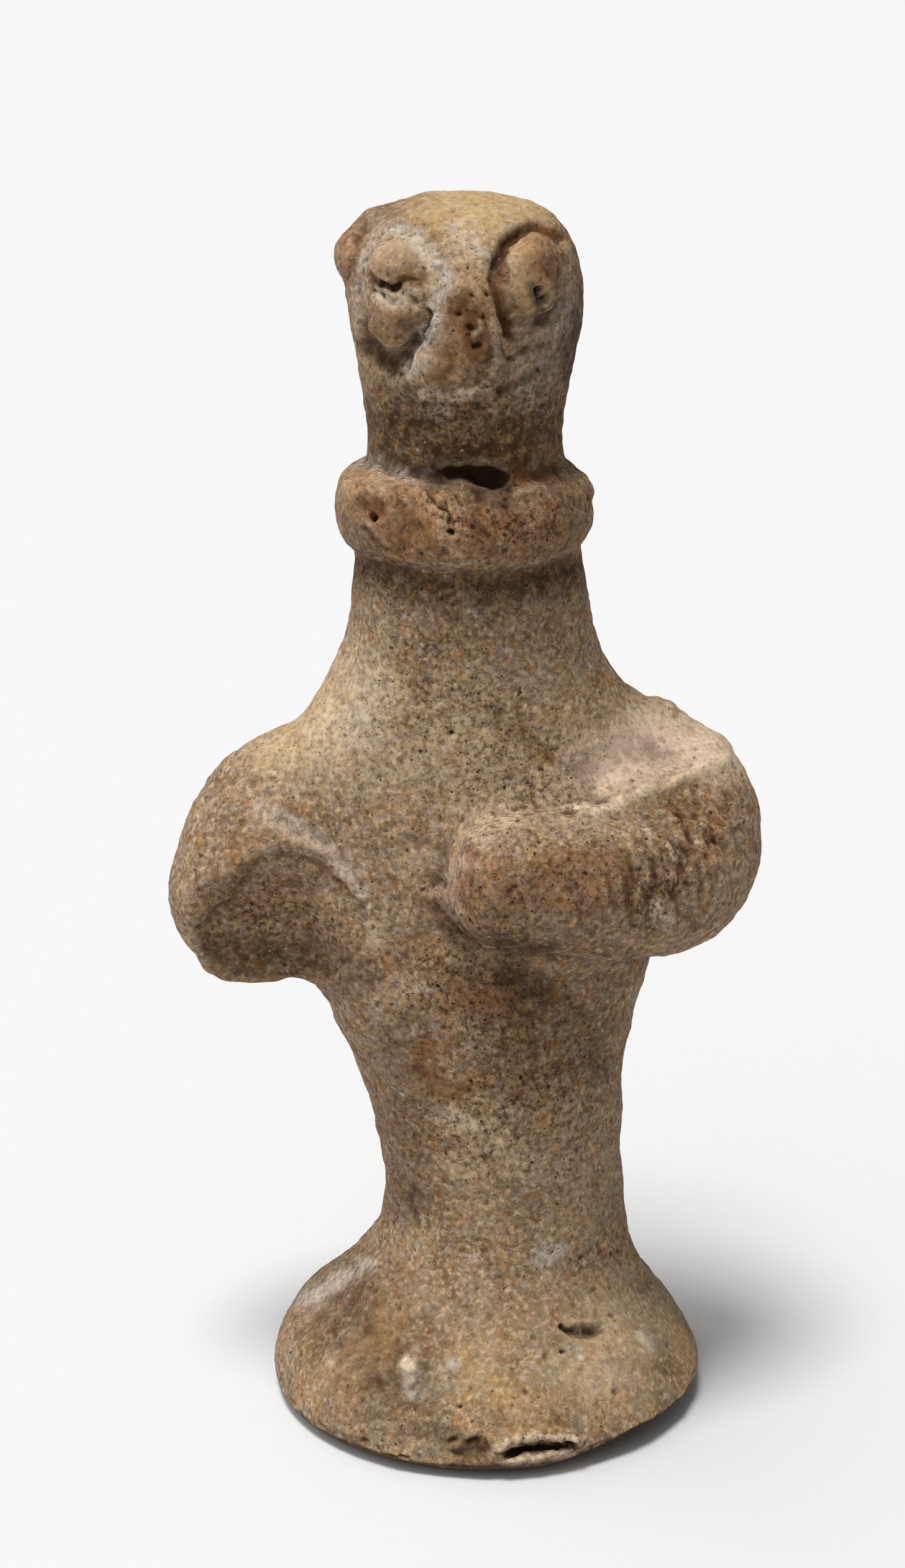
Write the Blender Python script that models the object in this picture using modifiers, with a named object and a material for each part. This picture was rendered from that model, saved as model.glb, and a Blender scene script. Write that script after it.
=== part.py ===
"""Terracotta votive figurine with a bird-like face, rolled, pressed and fired as one piece of clay.

A standalone script: blender --background --python part.py
All sizes are in millimetres, and MM turns them to Blender's metres. The figure stands on Z = 0 with the
axis of its foot on the origin. It faces -Y, and its folded arm is on the +X side.
"""

import math

import bmesh
import bpy
from mathutils import Matrix, Vector

MM = 0.001

# Driving sizes of the whole figure
HEIGHT = 120.0
FOOT_HALF_WIDTH = 21.0
WAIST_HALF_WIDTH = 11.7
CHEST_HALF_WIDTH = 15.0
NECK_HALF_WIDTH = 9.1
HEAD_HALF_WIDTH = 10.9
HEAD_HALF_DEPTH = 10.0
ARM_RADIUS = 7.4

# The pillar of clay from the foot to the brow: height, centre x, centre y, half width, half depth
PILLAR = (
    (-3.0, 0.0, 0.0, 0.90 * FOOT_HALF_WIDTH, 0.90 * FOOT_HALF_WIDTH),
    (0.0, 0.0, 0.0, 1.01 * FOOT_HALF_WIDTH, 1.02 * FOOT_HALF_WIDTH),
    (2.5, 0.0, 0.0, 1.01 * FOOT_HALF_WIDTH, 1.03 * FOOT_HALF_WIDTH),
    (7.0, -0.2, 0.0, 0.92 * FOOT_HALF_WIDTH, 0.92 * FOOT_HALF_WIDTH),
    (12.0, 0.4, 0.0, 0.71 * FOOT_HALF_WIDTH, 0.68 * FOOT_HALF_WIDTH),
    (18.0, 1.6, 0.0, 1.04 * WAIST_HALF_WIDTH, 0.97 * WAIST_HALF_WIDTH),
    (27.0, 1.2, 0.2, 1.03 * WAIST_HALF_WIDTH, 0.93 * WAIST_HALF_WIDTH),
    (37.0, -0.1, 0.3, 0.92 * CHEST_HALF_WIDTH, 0.74 * CHEST_HALF_WIDTH),
    (46.0, -1.2, 0.2, 1.14 * CHEST_HALF_WIDTH, 0.74 * CHEST_HALF_WIDTH),
    (60.0, -0.9, 0.3, 1.38 * CHEST_HALF_WIDTH, 0.70 * CHEST_HALF_WIDTH),
    (66.0, -0.9, 0.4, 1.30 * CHEST_HALF_WIDTH, 0.67 * CHEST_HALF_WIDTH),
    (71.0, -1.1, 0.5, 1.04 * CHEST_HALF_WIDTH, 0.67 * CHEST_HALF_WIDTH),
    (76.0, -1.5, 0.4, 0.83 * CHEST_HALF_WIDTH, 0.68 * CHEST_HALF_WIDTH),
    (84.0, -1.8, 0.0, 0.72 * CHEST_HALF_WIDTH, 0.68 * CHEST_HALF_WIDTH),
    (97.0, -2.0, -0.4, 1.01 * NECK_HALF_WIDTH, 0.97 * NECK_HALF_WIDTH),
    (103.5, -2.1, -0.7, 0.90 * HEAD_HALF_WIDTH, 0.94 * HEAD_HALF_DEPTH),
    (110.0, -2.0, -0.7, HEAD_HALF_WIDTH, HEAD_HALF_DEPTH),
)
CROWN_SQUARENESS = 2.6
PILLAR_SIDES = 72
LEVEL_STEP = 1.0

# Rolls of clay: x, y, z of the middle of the roll, and its thickness there as a share of ARM_RADIUS
FOLDED_ARM = (
    (5.0, 2.0, 68.6, 0.80),
    (11.6, 2.0, 65.6, 0.88),
    (17.9, 0.4, 60.7, 1.04),
    (17.8, -4.0, 56.5, 1.07),
    (13.5, -8.6, 56.2, 1.00),
    (8.0, -11.0, 56.8, 0.93),
    (2.4, -12.3, 57.6, 0.86),
)
BROKEN_ARM = (
    (-6.0, 2.0, 66.6, 0.80),
    (-13.5, 1.8, 62.8, 0.97),
    (-20.2, 0.4, 58.3, 1.13),
    (-21.8, -1.5, 52.4, 1.20),
)

# The collar is a coil of clay round the neck: its middle line, and its half height and half thickness
COLLAR_CENTRE = (-2.2, -0.6, 90.4)
COLLAR_RADIUS = 9.0
COLLAR_HALF_HEIGHT = 4.0
COLLAR_HALF_THICKNESS = 3.1

# Balls of clay pressed on: place, half sizes along their own x, y and z, and turns about x, y and z in degrees
ARM_WEB = ((12.0, -3.6, 61.5), (9.0, 6.0, 6.8), (0.0, 0.0, 0.0))
STUMP_ROOT = ((-14.8, -1.4, 51.0), (7.8, 8.6, 8.0), (0.0, 0.0, 0.0))
COLLAR_LOBE = ((-8.8, -7.2, 91.7), (4.7, 3.4, 4.3), (0.0, 0.0, -42.0))
HAIR_LOBE = ((-9.0, 0.4, 114.2), (5.1, 6.0, 3.9), (0.0, 0.0, 0.0))
LEFT_EYE = ((-8.1, -7.6, 112.1), (3.4, 2.4, 4.9), (0.0, 0.0, -36.0))
RIGHT_EYE = ((4.1, -8.0, 113.7), (2.9, 2.4, 3.9), (0.0, 0.0, 38.0))
BEAK_BOTTOM = ((-2.8, -8.8, 105.6), (3.9, 3.8, 2.5), (0.0, 0.0, 0.0))

# Hollows pressed in round the eyes before the pellets were set, the slit across one and the hole in the other
LEFT_SOCKET = ((-8.9, -9.9, 111.8), (4.9, 2.6, 6.4), (0.0, 0.0, -36.0))
RIGHT_SOCKET = ((4.6, -9.6, 113.2), (4.1, 2.2, 5.6), (0.0, 0.0, 38.0))
EYE_SLIT = ((-9.2, -10.4, 113.0), (2.8, 1.3, 0.45), (0.0, 4.0, -36.0))
EYE_HOLE = ((5.6, -10.0, 112.4), (0.6, 1.4, 0.8), (0.0, 0.0, 38.0))

# The ridge of the beak, from the forehead down: x, y, z and thickness
BEAK = (
    (-1.5, -5.2, 115.8, 3.3),
    (-1.2, -8.3, 113.8, 3.0),
    (-1.2, -9.9, 110.5, 2.6),
    (-1.7, -9.9, 107.5, 2.9),
    (-2.3, -8.8, 105.4, 3.0),
)

# The clay is fused on a grid of this size, then smoothed by so many passes
CORE_GRID = 0.6
CORE_PASSES = 24
DETAIL_GRID = 0.45
DETAIL_PASSES = 4

# What has broken away: the forearm, the tip of the beak, and a flake of the rim with a slot behind it
ARM_BREAK = ((-21.7, -11.6, 51.0), (13.5, 6.0, 12.0), (18.0, -14.0, 6.0))
BEAK_BREAK = ((-1.0, -13.7, 109.0), (2.3, 1.7, 3.8), (-6.0, 0.0, 4.0))
RIM_BREAK = ((4.6, -23.0, 2.0), (4.9, 2.0, 2.4), (0.0, 0.0, 12.0))
RIM_SLOT = ((4.4, -20.6, 2.9), (3.3, 2.8, 0.4), (4.0, 0.0, 12.0))
TRIANGLES = 9000

CLAY_COLOUR = (0.262, 0.171, 0.103, 1.0)
CLAY_ROUGHNESS = 0.93


def new_object(name, mesh, collection=None):
    """An object with this bmesh's faces, all turned outwards."""
    bmesh.ops.recalc_face_normals(mesh, faces=mesh.faces)
    data = bpy.data.meshes.new(name)
    mesh.to_mesh(data)
    mesh.free()
    made = bpy.data.objects.new(name, data)
    (collection or bpy.context.scene.collection).objects.link(made)
    return made


def smooth_row(rows, z):
    """The row of sizes at height z, on a smooth curve through the rows on either side."""
    i = max(k for k in range(len(rows) - 1) if rows[k][0] <= z or k == 0)
    before = rows[max(i - 1, 0)]
    low = rows[i]
    high = rows[i + 1]
    after = rows[min(i + 2, len(rows) - 1)]
    step = high[0] - low[0]
    t = (z - low[0]) / step
    made = []
    for k in range(1, len(low)):
        slope_low = (high[k] - before[k]) / (high[0] - before[0])
        slope_high = (after[k] - low[k]) / (after[0] - low[0])
        made.append(
            (2 * t**3 - 3 * t**2 + 1) * low[k]
            + (t**3 - 2 * t**2 + t) * slope_low * step
            + (3 * t**2 - 2 * t**3) * high[k]
            + (t**3 - t**2) * slope_high * step
        )
    return made


def pillar_section(z):
    """Centre x and y, half width and half depth at height z, with a rounded crown above the last row."""
    brow = PILLAR[-1][0]
    x, y, half_width, half_depth = smooth_row(PILLAR, min(z, brow))
    if z > brow:
        rise = (z - brow) / (HEIGHT - brow)
        share = (1 - rise**CROWN_SQUARENESS) ** (1 / CROWN_SQUARENESS)
        return x, y, half_width * share, half_depth * share
    return x, y, half_width, half_depth


def pillar():
    """The upright roll that is foot, body, neck and head: oval rings, bridged from the foot to the crown."""
    mesh = bmesh.new()
    lowest = PILLAR[0][0]
    levels = round((HEIGHT - lowest) / LEVEL_STEP)
    edges_below = None
    for level in range(levels + 1):
        z = min(lowest + level * LEVEL_STEP, HEIGHT - 0.02)
        x, y, half_width, half_depth = pillar_section(z)
        size = Matrix.Diagonal((half_width * MM, half_depth * MM, 1.0, 1.0))
        ring = bmesh.ops.create_circle(
            mesh,
            segments=PILLAR_SIDES,
            radius=1.0,
            cap_ends=level in (0, levels),
            matrix=Matrix.Translation(Vector((x, y, z)) * MM) @ size,
        )
        edges = list({edge for vert in ring["verts"] for edge in vert.link_edges})
        if edges_below:
            bmesh.ops.bridge_loops(mesh, edges=edges_below + edges)
        edges_below = edges
    return new_object("pillar", mesh)


def roll(name, points, radius=1.0):
    """A roll of clay along a smooth line, with its own thickness at each point and rounded ends."""
    curve = bpy.data.curves.new(name, "CURVE")
    curve.dimensions = "3D"
    curve.bevel_depth = radius * MM
    curve.bevel_resolution = 6
    curve.use_fill_caps = True
    spline = curve.splines.new("BEZIER")
    spline.resolution_u = 10
    spline.bezier_points.add(len(points) - 1)
    for point, (x, y, z, thickness) in zip(spline.bezier_points, points):
        point.co = Vector((x, y, z)) * MM
        point.radius = thickness
        point.handle_left_type = "AUTO"
        point.handle_right_type = "AUTO"
    wire = bpy.data.objects.new(name, curve)
    bpy.context.scene.collection.objects.link(wire)
    graph = bpy.context.evaluated_depsgraph_get()
    mesh = bmesh.new()
    mesh.from_mesh(bpy.data.meshes.new_from_object(wire.evaluated_get(graph)))
    bmesh.ops.remove_doubles(mesh, verts=mesh.verts, dist=0.01 * MM)
    bpy.data.objects.remove(wire)
    for x, y, z, thickness in (points[0], points[-1]):
        bmesh.ops.create_icosphere(
            mesh,
            subdivisions=3,
            radius=radius * thickness * MM,
            matrix=Matrix.Translation(Vector((x, y, z)) * MM),
        )
    return new_object(name, mesh)


def pellet(name, place, half_sizes, turns, collection=None):
    """A ball of clay pressed to an oval, rolled about its own y, then tilted about x and turned about z."""
    tilt, roll_angle, turn = (math.radians(angle) for angle in turns)
    mesh = bmesh.new()
    bmesh.ops.create_icosphere(
        mesh,
        subdivisions=3,
        radius=1.0,
        matrix=Matrix.Translation(Vector(place) * MM)
        @ Matrix.Rotation(turn, 4, "Z")
        @ Matrix.Rotation(tilt, 4, "X")
        @ Matrix.Rotation(roll_angle, 4, "Y")
        @ Matrix.Diagonal((*(size * MM for size in half_sizes), 1.0)),
    )
    return new_object(name, mesh, collection)


def collar():
    """The coil round the neck: a ring of round section, pressed taller than it is thick."""
    mesh = bmesh.new()
    section = bmesh.ops.create_circle(
        mesh,
        segments=24,
        radius=1.0,
        matrix=Matrix.Translation((COLLAR_RADIUS * MM, 0.0, 0.0))
        @ Matrix.Rotation(math.pi / 2, 4, "X")
        @ Matrix.Diagonal((COLLAR_HALF_THICKNESS * MM, COLLAR_HALF_HEIGHT * MM, 1.0, 1.0)),
    )
    edges = list({edge for vert in section["verts"] for edge in vert.link_edges})
    bmesh.ops.spin(
        mesh,
        geom=edges,
        cent=(0.0, 0.0, 0.0),
        axis=(0.0, 0.0, 1.0),
        angle=2 * math.pi,
        steps=72,
        use_merge=True,
    )
    bmesh.ops.translate(mesh, verts=mesh.verts, vec=Vector(COLLAR_CENTRE) * MM)
    return new_object("collar", mesh)


def fused(name, pieces, grid, passes):
    """One skin of clay over all these pieces, with its seams smoothed by a thumb."""
    mesh = bmesh.new()
    for piece in pieces:
        mesh.from_mesh(piece.data)
        bpy.data.objects.remove(piece)
    data = bpy.data.meshes.new(name)
    mesh.to_mesh(data)
    mesh.free()
    made = bpy.data.objects.new(name, data)
    bpy.context.scene.collection.objects.link(made)
    remesh = made.modifiers.new("one skin", "REMESH")
    remesh.mode = "VOXEL"
    remesh.voxel_size = grid * MM
    smooth = made.modifiers.new("thumbed seams", "SMOOTH")
    smooth.factor = 0.5
    smooth.iterations = passes
    graph = bpy.context.evaluated_depsgraph_get()
    made.data = bpy.data.meshes.new_from_object(made.evaluated_get(graph))
    made.modifiers.clear()
    return made


def cut(piece, cutter):
    taken = piece.modifiers.new(cutter.name, "BOOLEAN")
    taken.operation = "DIFFERENCE"
    taken.solver = "EXACT"
    taken.object = cutter


def hollowed(piece, cutters):
    """The piece with these shapes pressed out of it for good."""
    for cutter in cutters:
        cut(piece, cutter)
    graph = bpy.context.evaluated_depsgraph_get()
    piece.data = bpy.data.meshes.new_from_object(piece.evaluated_get(graph))
    piece.modifiers.clear()
    for cutter in cutters:
        bpy.data.objects.remove(cutter)


def clay():
    """Fired clay, tan to brown and fully matt."""
    material = bpy.data.materials.new("fired clay")
    material.use_nodes = True
    shader = material.node_tree.nodes["Principled BSDF"]
    shader.inputs["Base Color"].default_value = CLAY_COLOUR
    shader.inputs["Roughness"].default_value = CLAY_ROUGHNESS
    shader.inputs["Metallic"].default_value = 0.0
    return material


def arm_break():
    """The lump that broke away with the forearm: a shallow dish that stops where the chest begins."""
    lump = pellet("arm break", *ARM_BREAK)
    hollowed(lump, [pillar()])
    return lump


def ground_cutter(collection):
    """A block under Z = 0, which leaves the flat underside that the figure stands on."""
    mesh = bmesh.new()
    side = 4 * FOOT_HALF_WIDTH * MM
    bmesh.ops.create_cube(mesh, size=side, matrix=Matrix.Translation((0.0, 0.0, -side / 2)))
    return new_object("ground", mesh, collection)


def new_collection(name):
    made = bpy.data.collections.new(name)
    bpy.context.scene.collection.children.link(made)
    return made


def main():
    for old in list(bpy.data.objects):
        bpy.data.objects.remove(old)
    parts = new_collection("votive figurine")
    cutters = new_collection("cutters")

    core = fused(
        "core",
        [
            pillar(),
            roll("folded arm", FOLDED_ARM, ARM_RADIUS),
            roll("broken arm", BROKEN_ARM, ARM_RADIUS),
            pellet("arm web", *ARM_WEB),
            pellet("stump root", *STUMP_ROOT),
        ],
        CORE_GRID,
        CORE_PASSES,
    )
    hollowed(
        core,
        [
            pellet("left socket", *LEFT_SOCKET),
            pellet("right socket", *RIGHT_SOCKET),
            arm_break(),
        ],
    )
    figurine = fused(
        "figurine",
        [
            core,
            collar(),
            pellet("collar lobe", *COLLAR_LOBE),
            pellet("hair lobe", *HAIR_LOBE),
            pellet("left eye", *LEFT_EYE),
            pellet("right eye", *RIGHT_EYE),
            roll("beak", BEAK),
            pellet("beak bottom", *BEAK_BOTTOM),
        ],
        DETAIL_GRID,
        DETAIL_PASSES,
    )
    bpy.context.scene.collection.objects.unlink(figurine)
    parts.objects.link(figurine)
    cut(figurine, pellet("beak break", *BEAK_BREAK, cutters))
    cut(figurine, pellet("eye slit", *EYE_SLIT, cutters))
    cut(figurine, pellet("eye hole", *EYE_HOLE, cutters))
    cut(figurine, pellet("rim break", *RIM_BREAK, cutters))
    coarse = figurine.modifiers.new("fewer faces", "DECIMATE")
    graph = bpy.context.evaluated_depsgraph_get()
    found = figurine.evaluated_get(graph).to_mesh()
    found.calc_loop_triangles()
    coarse.ratio = TRIANGLES / len(found.loop_triangles)
    cut(figurine, pellet("rim slot", *RIM_SLOT, cutters))
    cut(figurine, ground_cutter(cutters))
    for cutter in cutters.objects:
        cutter.hide_render = True
        cutter.display_type = "WIRE"
    figurine.data.materials.append(clay())
    figurine.data.shade_smooth()


main()
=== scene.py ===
"""Looks of the terracotta votive figurine: worn fired clay, its hand-pressed face, its breaks and its dirt.

The solid gives every main form. Here a finer skin is made from it, small marks are pressed into that, and the
clay gets its colours, painted light and shade among them. Sizes are in millimetres unless a line says
otherwise, and MM turns them to metres.
"""

import math

import bmesh
import bpy
import numpy as np
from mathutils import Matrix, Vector, kdtree, noise


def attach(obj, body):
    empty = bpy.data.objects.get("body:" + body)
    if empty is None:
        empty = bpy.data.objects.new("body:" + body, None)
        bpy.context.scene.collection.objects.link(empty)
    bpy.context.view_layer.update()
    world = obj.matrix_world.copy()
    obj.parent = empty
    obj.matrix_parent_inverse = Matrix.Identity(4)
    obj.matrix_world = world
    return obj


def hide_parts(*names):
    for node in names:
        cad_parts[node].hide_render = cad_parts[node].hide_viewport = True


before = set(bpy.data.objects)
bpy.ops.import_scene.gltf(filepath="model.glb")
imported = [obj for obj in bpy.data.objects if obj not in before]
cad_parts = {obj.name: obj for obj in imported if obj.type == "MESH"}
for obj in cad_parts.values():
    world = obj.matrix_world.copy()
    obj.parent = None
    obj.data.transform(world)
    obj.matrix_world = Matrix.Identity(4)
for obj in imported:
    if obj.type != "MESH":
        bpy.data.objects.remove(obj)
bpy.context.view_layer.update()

MM = 0.001

# The figure is looked at from here. Marks on its front are laid out on a sheet: an upright plane through its
# axis, ruled in millimetres to the right and up, on which each point is drawn where the eye sees it.
EYE = Vector((0.0, -365.0, 190.0))
AIM = Vector((0.0, 0.0, 62.9))
LENS_LENGTH = 93.2
LENS_SHIFT = -56 / 2522

# The lights: the side and the height that each comes from and how broad it is, in degrees, and its power
LIGHTS = {
    "left": (-80.0, 42.0, 110.0, 2.05),
    "overhead": (-27.0, 75.0, 17.0, 2.8),
}
FILL_LIGHT = 0.25
FLOOR_HALF_METRES = 3.0
FLOOR_COLOUR = "#cccccc"

# The grid on which the skin of clay is made, how often it is rubbed smooth, and the most faces it may have
SKIN_GRID = 0.27
SKIN_PASSES = 8
MOST_TRIANGLES = 192000

# The clay's own lumps and hollows: depth, size and the seed of their pattern. The fine ones deepen with wear.
BROAD_LUMPS = ((0.30, 11.0, 1), (0.22, 4.5, 2))
FINE_LUMPS = ((0.12, 2.2, 7), (0.11, 1.0, 8))
# How a pressed line wavers: by how much, over what length, and the seed
WAVER = ((0.32, 1.8, 3), (0.12, 0.7, 5))
# Where the clay is rougher (over 0) or smoother (under 0) than elsewhere: how much, spread and line
WEAR = {
    "face": (0.6, 9.0, ((-7.0, 111.0), (-3.0, 104.0))),
    "neck": (0.8, 6.0, ((-7.0, 98.0), (6.0, 98.0))),
    "collar": (0.8, 5.0, ((-8.0, 87.0), (6.0, 87.0))),
    "foot's rim": (0.7, 6.0, ((-14.0, 4.0), (14.0, 2.0))),
    "shoulder hollow": (-0.6, 5.0, ((10.0, 64.0), (21.0, 67.0))),
}

# How squarely the clay faces the eye, as a cosine, where its forms, colours and outline are gone, and how
# much more squarely it faces it where they are full
FORMS_GONE = 0.05
COLOURS_GONE = -0.3
OUTLINE_GONE = -0.7
FADE = 0.3
# Nothing is pressed below this height, so that the underside stays flat, and all is full this much higher
PRESSED_FROM = 0.3
PRESSED_OVER = 1.2

# Torn wrinkles where the elbow was bent. They lean, and the flatter their pattern, the longer they are.
WRINKLE_DEPTH = 0.7
WRINKLE_SPREAD = 6.5
WRINKLE_LINE = ((15.6, 52.0), (20.6, 58.6))
WRINKLE_LEAN = 1.2
WRINKLE_FLATNESS = 0.45
WRINKLE_SIZE = 1.1
WRINKLE_TEAR_SIZE = 2.2
WRINKLE_TEARING = 0.6
WRINKLE_SEEDS = (11, 12)

# How deep a pit is beside its radius, and how low on the foot pits may lie
PIT_DEPTH = 0.45
LOWEST_PIT = 1.0

# The foot's lower edge is rounded: how far from the axis that starts and over how far it grows, up to what
# height, and how far it lifts the clay
ROUNDED_OUT = (18.6, 2.4)
ROUNDED_HEIGHT = 2.2
ROUNDED_LIFT = 1.0
# The foot is warped up at the front right: where that starts and over how far it grows, to the right, to the
# front (from behind the axis) and out from it, up to what height, and how far it lifts the clay
WARPED_RIGHT = (5.0, 9.0)
WARPED_FRONT = (-6.0, 8.0)
WARPED_OUT = (12.0, 8.0)
WARPED_HEIGHT = 5.0
WARPED_LIFT = 1.5

# Soft forms of the face, each along a line on the sheet: height, how far it spreads to each side, its line
FACE_FORMS = {
    "left lobe": (0.4, 2.4, ((-13.0, 115.4), (-13.1, 112.8))),
    "left lobe groove": (-0.35, 1.0, ((-11.2, 116.0), (-11.5, 114.0), (-12.1, 112.2))),
    "left socket rim": (
        0.35,
        0.8,
        ((-9.2, 116.6), (-10.6, 115.3), (-11.5, 113.5), (-11.9, 111.2), (-12.0, 108.7), (-11.8, 106.4)),
    ),
    "brow line": (0.3, 0.9, ((-10.9, 116.9), (-9.2, 117.9), (-7.1, 118.7), (-5.4, 118.9))),
    "forehead hollow": (-0.35, 1.6, ((-7.1, 116.6), (-5.6, 115.8), (-4.6, 114.6))),
    "slope left of the beak": (0.75, 2.6, ((-4.2, 113.6), (-4.1, 110.4), (-4.6, 107.4), (-5.4, 105.0))),
    "beak left corner": (0.5, 1.8, ((-5.2, 103.2), (-6.2, 101.8))),
    "under the left eye": (
        -1.0,
        1.5,
        ((-11.2, 105.9), (-9.9, 104.6), (-8.5, 103.9), (-7.1, 104.6), (-6.2, 106.0)),
    ),
    "left cheek band": (0.6, 1.6, ((-4.8, 106.9), (-5.7, 105.4), (-6.9, 103.8), (-7.8, 102.4))),
    "right socket groove": (
        -0.85,
        0.85,
        (
            (6.9, 115.4),
            (5.7, 116.1),
            (4.2, 116.4),
            (3.0, 116.1),
            (1.7, 115.0),
            (1.1, 113.3),
            (0.8, 111.5),
            (0.9, 109.6),
            (1.4, 108.1),
            (2.1, 106.4),
        ),
    ),
    "pellet outer groove": (
        -0.5,
        1.0,
        ((6.4, 114.6), (6.8, 113.0), (6.6, 111.2), (5.9, 109.4), (4.6, 107.9)),
    ),
    "beak scar": (-0.25, 1.8, ((-2.4, 109.2), (-1.4, 108.4), (-1.0, 105.9))),
    "beak rim": (
        0.45,
        0.9,
        ((-5.7, 100.9), (-3.6, 100.5), (-1.8, 100.6), (-0.3, 101.4), (0.7, 102.8), (1.0, 104.0)),
    ),
    "beak right edge": (0.35, 0.6, ((1.0, 104.0), (0.9, 106.4), (0.7, 109.0))),
    "beak bottom": (-0.5, 2.8, ((-3.4, 103.4), (-1.8, 103.2))),
    "under the beak": (0.5, 2.2, ((-5.0, 99.6), (-2.4, 99.2), (0.6, 100.0))),
}
# Forms of the face with a clear edge: height, how broad the edge is, and their outline on the sheet
FACE_AREAS = {
    "right pellet": (
        0.75,
        1.7,
        (
            (3.8, 115.5),
            (4.8, 115.1),
            (5.6, 114.0),
            (5.9, 112.5),
            (5.8, 110.8),
            (5.3, 109.4),
            (4.4, 108.6),
            (3.2, 108.4),
            (2.1, 109.2),
            (1.4, 110.6),
            (1.2, 112.1),
            (1.5, 113.8),
            (2.5, 115.1),
        ),
    ),
    "left upper lid": (
        0.45,
        1.5,
        (
            (-9.4, 116.0),
            (-7.4, 116.0),
            (-6.1, 115.0),
            (-5.5, 113.4),
            (-5.8, 111.9),
            (-7.2, 111.6),
            (-8.2, 111.2),
            (-9.7, 111.5),
            (-10.7, 112.4),
            (-10.9, 113.7),
            (-10.4, 115.0),
        ),
    ),
    "left lower lid": (
        0.7,
        1.6,
        (
            (-11.2, 109.0),
            (-10.5, 110.3),
            (-9.0, 110.6),
            (-7.2, 110.5),
            (-5.8, 109.5),
            (-5.4, 107.8),
            (-5.9, 106.2),
            (-7.1, 105.1),
            (-8.7, 104.7),
            (-10.2, 105.3),
            (-11.2, 106.9),
        ),
    ),
}
# Slits, pits, cracks and crumbs that are pressed in once the forms are there, given as the soft forms are
FACE_MARKS = {
    "slit left": (-0.45, 0.55, ((-10.8, 112.3), (-10.2, 111.6), (-9.6, 111.1))),
    "slit middle": (-0.7, 0.4, ((-9.7, 111.1), (-8.9, 110.8), (-8.2, 111.0))),
    "slit right": (-0.35, 0.4, ((-8.2, 111.2), (-7.3, 111.7), (-6.5, 111.6))),
    "slit low": (-0.5, 0.4, ((-10.4, 110.6), (-9.6, 110.3))),
    "crumb in the slit": (0.4, 0.5, ((-9.3, 110.5), (-8.8, 110.3))),
    "knob by the slit": (0.4, 0.6, ((-6.4, 110.5), (-6.0, 110.4))),
    "crack right of the eye": (-0.5, 0.35, ((-5.6, 109.0), (-5.0, 108.4), (-5.2, 107.6))),
    "gap right of the eye": (-0.6, 0.45, ((-5.5, 107.0), (-5.2, 107.9))),
    "right eye hole": (-1.6, 0.6, ((4.6, 110.9), (4.7, 109.8))),
    "right eye hole rim": (0.4, 0.5, ((5.4, 111.3), (5.8, 110.2), (5.4, 109.0))),
    "scar pit 1": (-0.6, 0.35, ((-2.7, 108.5), (-2.6, 108.4))),
    "scar pit 2": (-0.6, 0.35, ((-0.3, 108.3), (-0.3, 108.0))),
    "scar pit 3": (-0.6, 0.4, ((-1.3, 105.5), (-0.8, 105.6))),
    "scar pit 4": (-0.5, 0.4, ((-1.6, 107.3), (-1.3, 106.9))),
    "scar chip": (0.25, 0.4, ((-0.4, 107.7), (-0.6, 106.8), (-1.2, 106.3))),
    "beak pit 1": (-0.5, 0.3, ((-1.7, 112.6), (-1.7, 112.5))),
    "beak pit 2": (-0.5, 0.3, ((-1.5, 110.2), (-1.4, 110.0))),
    "beak pit 3": (-0.5, 0.3, ((-0.1, 110.4), (-0.1, 110.2))),
    "cheek crease 1": (-0.35, 0.6, ((1.9, 104.3), (3.3, 105.1), (5.1, 105.7))),
    "cheek crease 2": (-0.3, 0.6, ((1.1, 101.4), (3.0, 102.0), (4.8, 103.2))),
}
# The collar, in the same way: areas, soft forms and marks
COLLAR_AREAS = {
    "gap at the throat": (
        -1.8,
        0.8,
        (
            (-5.0, 93.6),
            (-3.6, 94.2),
            (-1.3, 94.4),
            (0.9, 94.2),
            (2.2, 93.8),
            (2.4, 93.0),
            (1.9, 92.2),
            (1.2, 91.7),
            (0.2, 91.6),
            (-0.8, 92.1),
            (-2.0, 92.6),
            (-3.9, 92.8),
        ),
    ),
}
COLLAR_FORMS = {
    "top left": (0.45, 2.0, ((-12.2, 91.6), (-9.4, 91.9), (-6.4, 91.6))),
    "lobe edge": (-0.4, 1.2, ((-6.6, 88.2), (-7.6, 86.4))),
    "middle bulge": (0.35, 2.2, ((-5.2, 89.4), (-3.0, 87.4))),
    "right of the bulge": (-0.4, 1.6, ((-1.4, 90.4), (-0.4, 88.2))),
    "right top": (0.3, 1.6, ((3.6, 91.6), (6.4, 92.4), (8.4, 91.8))),
    "pinhole hollow": (-0.7, 1.5, ((-11.3, 90.2), (-10.3, 89.8))),
    "crease under the collar": (
        -0.5,
        1.6,
        ((-12.0, 84.6), (-6.8, 83.4), (0.0, 83.0), (5.4, 83.8), (8.6, 85.0)),
    ),
    "crease over the left": (-0.5, 1.0, ((-9.6, 94.2), (-7.2, 93.6), (-5.0, 93.2))),
}
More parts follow.
